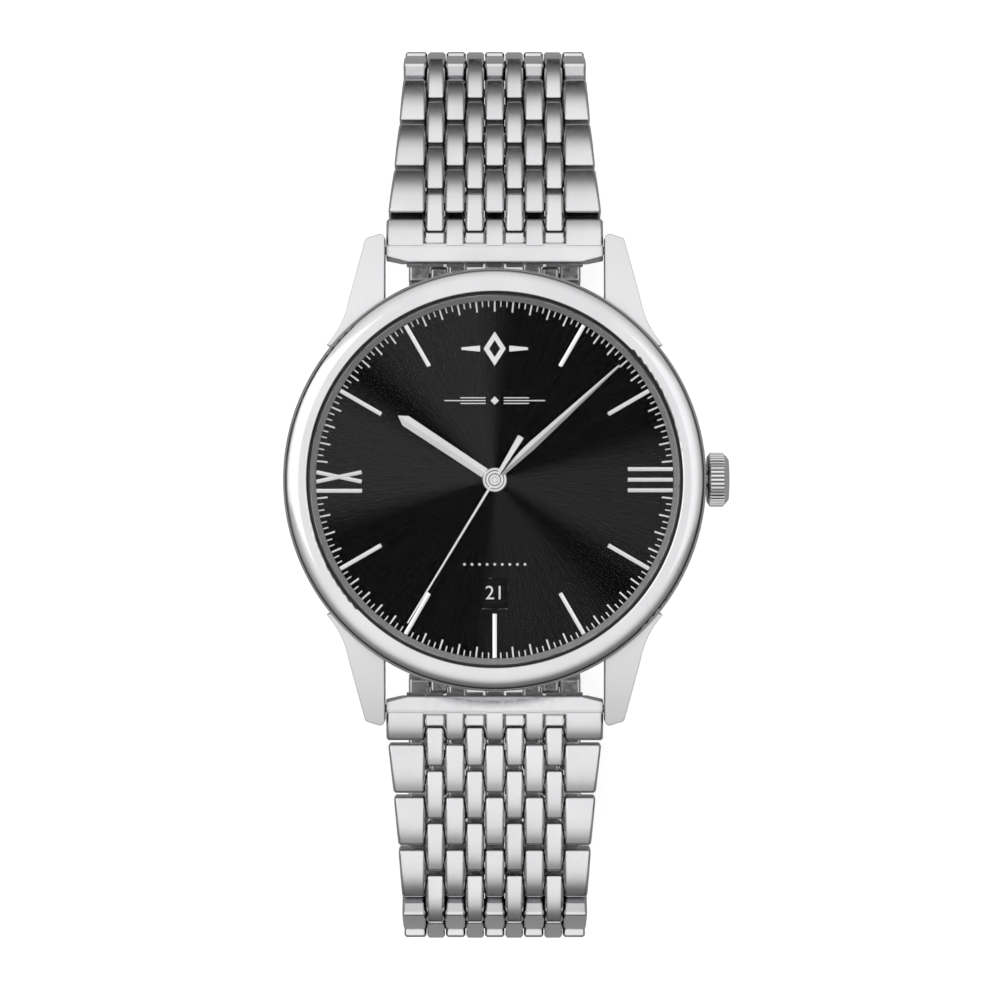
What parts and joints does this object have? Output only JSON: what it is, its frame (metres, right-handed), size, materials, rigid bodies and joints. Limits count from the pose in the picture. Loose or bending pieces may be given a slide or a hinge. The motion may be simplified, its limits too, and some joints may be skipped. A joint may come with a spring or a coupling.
{
  "type": "wristwatch",
  "caption": "Round three-hand wristwatch with a date window, see-through case back and a linked steel bracelet closed by a folding clasp.",
  "frame": {"origin": "centre of the case back's outer face, on the hands' axis", "axes": "+Z out of the dial, +Y towards 12 o'clock, +X towards 3 o'clock and the crown"},
  "size_m": [0.0444, 0.0915, 0.0372],
  "materials": {
    "polished_steel": "polished",
    "satin_steel": "fine satin",
    "applied_steel": "polished",
    "sapphire": "clear",
    "black_dial": "sunray lacquer",
    "dark_flange": "satin",
    "black_rubber": "matt",
    "holder_plastic": "matt",
    "gilt_brass": "gilt",
    "nickel": "nickel plate",
    "blued_steel": "heat blued",
    "ruby": "polished",
    "white_print": "printed ink"
  },
  "bodies": {
    "case": {"case_middle": "satin_steel", "bezel": "polished_steel", "crystal": "sapphire", "crystal_gasket": "black_rubber", "flange_ring": "dark_flange", "case_back": "satin_steel", "case_back_glass": "sapphire", "case_back_gasket": "black_rubber", "movement_holder": "holder_plastic", "lug_spring_bars": "satin_steel", "dial": "black_dial", "applied_markers": "applied_steel", "main_plate": "gilt_brass", "train_bridge": "nickel", "balance_cock": "nickel"},
    "end_link_12": {"end_link_12": "polished_steel"},
    "bracelet_row_12_01": {"bracelet_row_12_01": "polished_steel"},
    "bracelet_row_12_02": {"bracelet_row_12_02": "polished_steel"},
    "bracelet_row_12_03": {"bracelet_row_12_03": "polished_steel"},
    "bracelet_row_12_04": {"bracelet_row_12_04": "polished_steel"},
    "bracelet_row_12_05": {"bracelet_row_12_05": "polished_steel"},
    "bracelet_row_12_06": {"bracelet_row_12_06": "polished_steel"},
    "bracelet_row_12_07": {"bracelet_row_12_07": "polished_steel"},
    "bracelet_row_12_08": {"bracelet_row_12_08": "polished_steel"},
    "bracelet_row_12_09": {"bracelet_row_12_09": "polished_steel"},
    "bracelet_row_12_10": {"bracelet_row_12_10": "polished_steel"},
    "end_link_6": {"end_link_6": "polished_steel"},
    "bracelet_row_6_01": {"bracelet_row_6_01": "polished_steel"},
    "bracelet_row_6_02": {"bracelet_row_6_02": "polished_steel"},
    "bracelet_row_6_03": {"bracelet_row_6_03": "polished_steel"},
    "bracelet_row_6_04": {"bracelet_row_6_04": "polished_steel"},
    "bracelet_row_6_05": {"bracelet_row_6_05": "polished_steel"},
    "bracelet_row_6_06": {"bracelet_row_6_06": "polished_steel"},
    "bracelet_row_6_07": {"bracelet_row_6_07": "polished_steel"},
    "bracelet_row_6_08": {"bracelet_row_6_08": "polished_steel"},
    "bracelet_row_6_09": {"bracelet_row_6_09": "polished_steel"},
    "bracelet_row_6_10": {"bracelet_row_6_10": "polished_steel"},
    "bracelet_row_6_11": {"bracelet_row_6_11": "polished_steel"},
    "clasp_inner": {"clasp_inner_blade": "satin_steel"},
    "clasp_middle": {"clasp_middle_blade": "satin_steel"},
    "clasp_outer": {"clasp_cover": "polished_steel", "clasp_spring_bar": "satin_steel"},
    "pusher_right": {"clasp_pusher_right": "polished_steel"},
    "pusher_left": {"clasp_pusher_left": "polished_steel"},
    "seconds": {"fourth_wheel": "gilt_brass", "second_hand": "applied_steel"},
    "centre": {"centre_wheel": "gilt_brass"},
    "third": {"third_wheel": "gilt_brass"},
    "escape": {"escape_wheel": "nickel"},
    "barrel": {"mainspring_barrel": "gilt_brass"},
    "minutes": {"minute_hand": "applied_steel"},
    "hours": {"hour_hand": "applied_steel", "hour_wheel": "gilt_brass"},
    "minute_wheel": {"minute_wheel": "gilt_brass"},
    "date": {"date_disc": "black_dial"},
    "balance": {"balance_wheel": "gilt_brass", "hairspring": "blued_steel"},
    "rotor": {"rotor": "nickel"},
    "stem": {"winding_stem": "nickel"},
    "crown": {"crown": "polished_steel"}
  },
  "joints": [
    {"name": "clasp_pivot", "type": "hinge", "parent": "bracelet_row_12_10", "child": "clasp_inner", "pos_m": [0, 0.01907, -0.02557], "axis": [1, 0, 0], "range_deg": [-12, 12]},
    {"name": "clasp_unfold", "type": "hinge", "parent": "clasp_inner", "child": "clasp_middle", "pos_m": [0, -0.012, -0.02552], "axis": [-1, 0, 0], "range_deg": [0, 140]},
    {"name": "clasp_cover_hinge", "type": "hinge", "parent": "clasp_middle", "child": "clasp_outer", "pos_m": [0, 0.013, -0.02582], "axis": [-1, 0, 0], "range_deg": [-140, 0]},
    {"name": "clasp_pusher_right_press", "type": "slide", "parent": "clasp_outer", "child": "pusher_right", "axis": [-1, 0, 0], "range_m": [0, 0.0004], "stiffness_N_per_m": 300, "springref_m": -0.0005},
    {"name": "clasp_pusher_left_press", "type": "slide", "parent": "clasp_outer", "child": "pusher_left", "axis": [1, 0, 0], "range_m": [0, 0.0004], "stiffness_N_per_m": 300, "springref_m": -0.0005},
    {"name": "seconds_turn", "type": "hinge", "parent": "case", "child": "seconds", "pos_m": [0, 0, 0.004], "axis": [0, 0, -1], "continuous": true},
    {"name": "centre_wheel_turn", "type": "hinge", "parent": "case", "child": "centre", "pos_m": [0, 0, 0.0055], "axis": [0, 0, -1], "continuous": true},
    {"name": "third_wheel_turn", "type": "hinge", "parent": "case", "child": "third", "pos_m": [0.0045, 0, 0.005], "axis": [0, 0, -1], "continuous": true},
    {"name": "escape_wheel_turn", "type": "hinge", "parent": "case", "child": "escape", "pos_m": [0, -0.00443, 0.004], "axis": [0, 0, -1], "continuous": true},
    {"name": "barrel_turn", "type": "hinge", "parent": "case", "child": "barrel", "pos_m": [-0.00648, 0, 0.005], "axis": [0, 0, -1], "continuous": true},
    {"name": "minute_hand_turn", "type": "hinge", "parent": "case", "child": "minutes", "pos_m": [0, 0, 0.008], "axis": [0, 0, -1], "continuous": true},
    {"name": "hour_hand_turn", "type": "hinge", "parent": "case", "child": "hours", "pos_m": [0, 0, 0.008], "axis": [0, 0, -1], "continuous": true},
    {"name": "minute_wheel_turn", "type": "hinge", "parent": "case", "child": "minute_wheel", "pos_m": [0.0012, 0.00208, 0.0068], "axis": [0, 0, -1], "continuous": true},
    {"name": "date_disc_turn", "type": "hinge", "parent": "case", "child": "date", "pos_m": [0, 0, 0.007], "axis": [0, 0, 1], "continuous": true},
    {"name": "balance_swing", "type": "hinge", "parent": "case", "child": "balance", "pos_m": [0.0035, -0.008, 0.0045], "axis": [0, 0, 1], "range_deg": [-270, 270], "stiffness_Nm_per_rad": 0.0000008, "deforming": ["hairspring"]},
    {"name": "rotor_turn", "type": "hinge", "parent": "case", "child": "rotor", "pos_m": [0, 0, 0.002], "axis": [0, 0, 1], "continuous": true},
    {"name": "crown_pull", "type": "slide", "parent": "case", "child": "stem", "axis": [1, 0, 0], "range_m": [0, 0.0012]},
    {"name": "crown_turn", "type": "hinge", "parent": "stem", "child": "crown", "pos_m": [0.022, 0, 0.0049], "axis": [1, 0, 0], "continuous": true},
    {"name": "end_link_12_hinge", "type": "hinge", "parent": "case", "child": "end_link_12", "pos_m": [0, 0.023, 0.0026], "axis": [1, 0, 0], "range_deg": [0, 12]},
    {"name": "row_12_01_hinge", "type": "hinge", "parent": "end_link_12", "child": "bracelet_row_12_01", "pos_m": [0, 0.0275, 0.00164], "axis": [1, 0, 0], "range_deg": [0, 15]},
    {"name": "row_12_02_hinge", "type": "hinge", "parent": "bracelet_row_12_01", "child": "bracelet_row_12_02", "pos_m": [0, 0.03231, -0.00081], "axis": [1, 0, 0], "range_deg": [0, 0.5]},
    {"name": "row_12_03_hinge", "type": "hinge", "parent": "bracelet_row_12_02", "child": "bracelet_row_12_03", "pos_m": [0, 0.0371, -0.0033], "axis": [1, 0, 0], "range_deg": [0, 1.5]},
    {"name": "row_12_04_hinge", "type": "hinge", "parent": "bracelet_row_12_03", "child": "bracelet_row_12_04", "pos_m": [0, 0.04182, -0.00592], "axis": [1, 0, 0], "range_deg": [0, 47]},
    {"name": "row_12_05_hinge", "type": "hinge", "parent": "bracelet_row_12_04", "child": "bracelet_row_12_05", "pos_m": [0, 0.04313, -0.01116], "axis": [1, 0, 0], "range_deg": [0, 22]},
    {"name": "row_12_06_hinge", "type": "hinge", "parent": "bracelet_row_12_05", "child": "bracelet_row_12_06", "pos_m": [0, 0.04238, -0.01651], "axis": [1, 0, 0], "range_deg": [0, 24]},
    {"name": "row_12_07_hinge", "type": "hinge", "parent": "bracelet_row_12_06", "child": "bracelet_row_12_07", "pos_m": [0, 0.03952, -0.02109], "axis": [1, 0, 0], "range_deg": [0, 22]},
    {"name": "row_12_08_hinge", "type": "hinge", "parent": "bracelet_row_12_07", "child": "bracelet_row_12_08", "pos_m": [0, 0.03515, -0.02426], "axis": [1, 0, 0], "range_deg": [0, 24]},
    {"name": "row_12_09_hinge", "type": "hinge", "parent": "bracelet_row_12_08", "child": "bracelet_row_12_09", "pos_m": [0, 0.02987, -0.02538], "axis": [1, 0, 0], "range_deg": [0, 10]},
    {"name": "row_12_10_hinge", "type": "hinge", "parent": "bracelet_row_12_09", "child": "bracelet_row_12_10", "pos_m": [0, 0.02447, -0.02557], "axis": [1, 0, 0], "range_deg": [0, 2]},
    {"name": "end_link_6_hinge", "type": "hinge", "parent": "case", "child": "end_link_6", "pos_m": [0, -0.023, 0.0026], "axis": [-1, 0, 0], "range_deg": [0, 6]},
    {"name": "row_6_01_hinge", "type": "hinge", "parent": "end_link_6", "child": "bracelet_row_6_01", "pos_m": [0, -0.02757, 0.00212], "axis": [-1, 0, 0], "range_deg": [0, 3]},
    {"name": "row_6_02_hinge", "type": "hinge", "parent": "bracelet_row_6_01", "child": "bracelet_row_6_02", "pos_m": [0, -0.03291, 0.00127], "axis": [-1, 0, 0], "range_deg": [0, 1]},
    {"name": "row_6_03_hinge", "type": "hinge", "parent": "bracelet_row_6_02", "child": "bracelet_row_6_03", "pos_m": [0, -0.03823, 0.00034], "axis": [-1, 0, 0], "range_deg": [0, 4.5]},
    {"name": "row_6_04_hinge", "type": "hinge", "parent": "bracelet_row_6_03", "child": "bracelet_row_6_04", "pos_m": [0, -0.04345, -0.00102], "axis": [-1, 0, 0], "range_deg": [0, 51.5]},
    {"name": "row_6_05_hinge", "type": "hinge", "parent": "bracelet_row_6_04", "child": "bracelet_row_6_05", "pos_m": [0, -0.04565, -0.00595], "axis": [-1, 0, 0], "range_deg": [0, 28]},
    {"name": "row_6_06_hinge", "type": "hinge", "parent": "bracelet_row_6_05", "child": "bracelet_row_6_06", "pos_m": [0, -0.04527, -0.01134], "axis": [-1, 0, 0], "range_deg": [0, 20]},
    {"name": "row_6_07_hinge", "type": "hinge", "parent": "bracelet_row_6_06", "child": "bracelet_row_6_07", "pos_m": [0, -0.04308, -0.01627], "axis": [-1, 0, 0], "range_deg": [0, 16]},
    {"name": "row_6_08_hinge", "type": "hinge", "parent": "bracelet_row_6_07", "child": "bracelet_row_6_08", "pos_m": [0, -0.03961, -0.02041], "axis": [-1, 0, 0], "range_deg": [0, 16]},
    {"name": "row_6_09_hinge", "type": "hinge", "parent": "bracelet_row_6_08", "child": "bracelet_row_6_09", "pos_m": [0, -0.03513, -0.02342], "axis": [-1, 0, 0], "range_deg": [0, 18]},
    {"name": "row_6_10_hinge", "type": "hinge", "parent": "bracelet_row_6_09", "child": "bracelet_row_6_10", "pos_m": [0, -0.02994, -0.02491], "axis": [-1, 0, 0], "range_deg": [0, 9]},
    {"name": "row_6_11_hinge", "type": "hinge", "parent": "bracelet_row_6_10", "child": "bracelet_row_6_11", "pos_m": [0, -0.02458, -0.02557], "axis": [-1, 0, 0], "range_deg": [0, 7]}
  ],
  "couplings": [
    {"joint": "clasp_cover_hinge", "follows": "clasp_unfold", "ratio": -1},
    {"joint": "third_wheel_turn", "follows": "seconds_turn", "ratio": -0.13333},
    {"joint": "centre_wheel_turn", "follows": "seconds_turn", "ratio": 0.016667},
    {"joint": "escape_wheel_turn", "follows": "seconds_turn", "ratio": -10},
    {"joint": "barrel_turn", "follows": "seconds_turn", "ratio": -0.0033333},
    {"joint": "hour_hand_turn", "follows": "minute_hand_turn", "ratio": 0.083333},
    {"joint": "minute_wheel_turn", "follows": "minute_hand_turn", "ratio": -0.33333}
  ]
}
